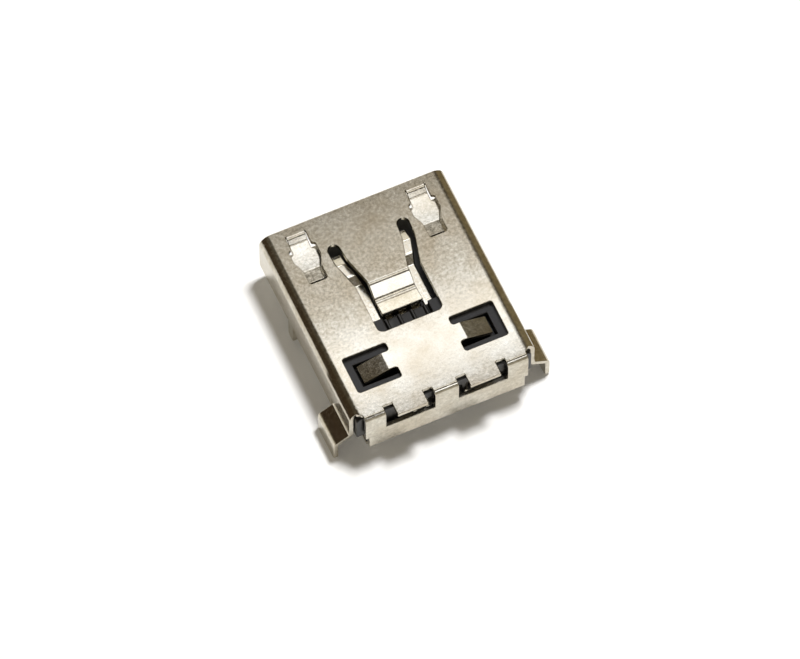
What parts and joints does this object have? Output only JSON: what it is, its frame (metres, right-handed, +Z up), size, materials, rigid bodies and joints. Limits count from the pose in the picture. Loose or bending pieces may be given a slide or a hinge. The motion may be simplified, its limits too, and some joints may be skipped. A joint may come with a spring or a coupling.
{
  "type": "charging port connector",
  "caption": "Low charging socket: a folded sheet metal shell with retaining springs and solder legs round a black moulded block that carries flat plated contacts.",
  "frame": {"origin": "on the board side, level with the leg tips, under the middle of the overall box", "axes": "+X across the mouth, +Y out of the mouth along the plug's way in and out, +Z up from the board"},
  "size_m": [0.0094, 0.0096, 0.0031],
  "materials": {
    "shell": "satin tin or nickel plate on folded steel sheet",
    "contact_block": "black moulded plastic, slightly satin",
    "contacts": "thin gold plate on copper alloy strip"
  },
  "bodies": {
    "root": {"shell": "shell", "contact_block": "contact_block", "contact_1": "contacts", "contact_2": "contacts", "contact_3": "contacts", "contact_4": "contacts", "contact_5": "contacts"}
  },
  "joints": []
}
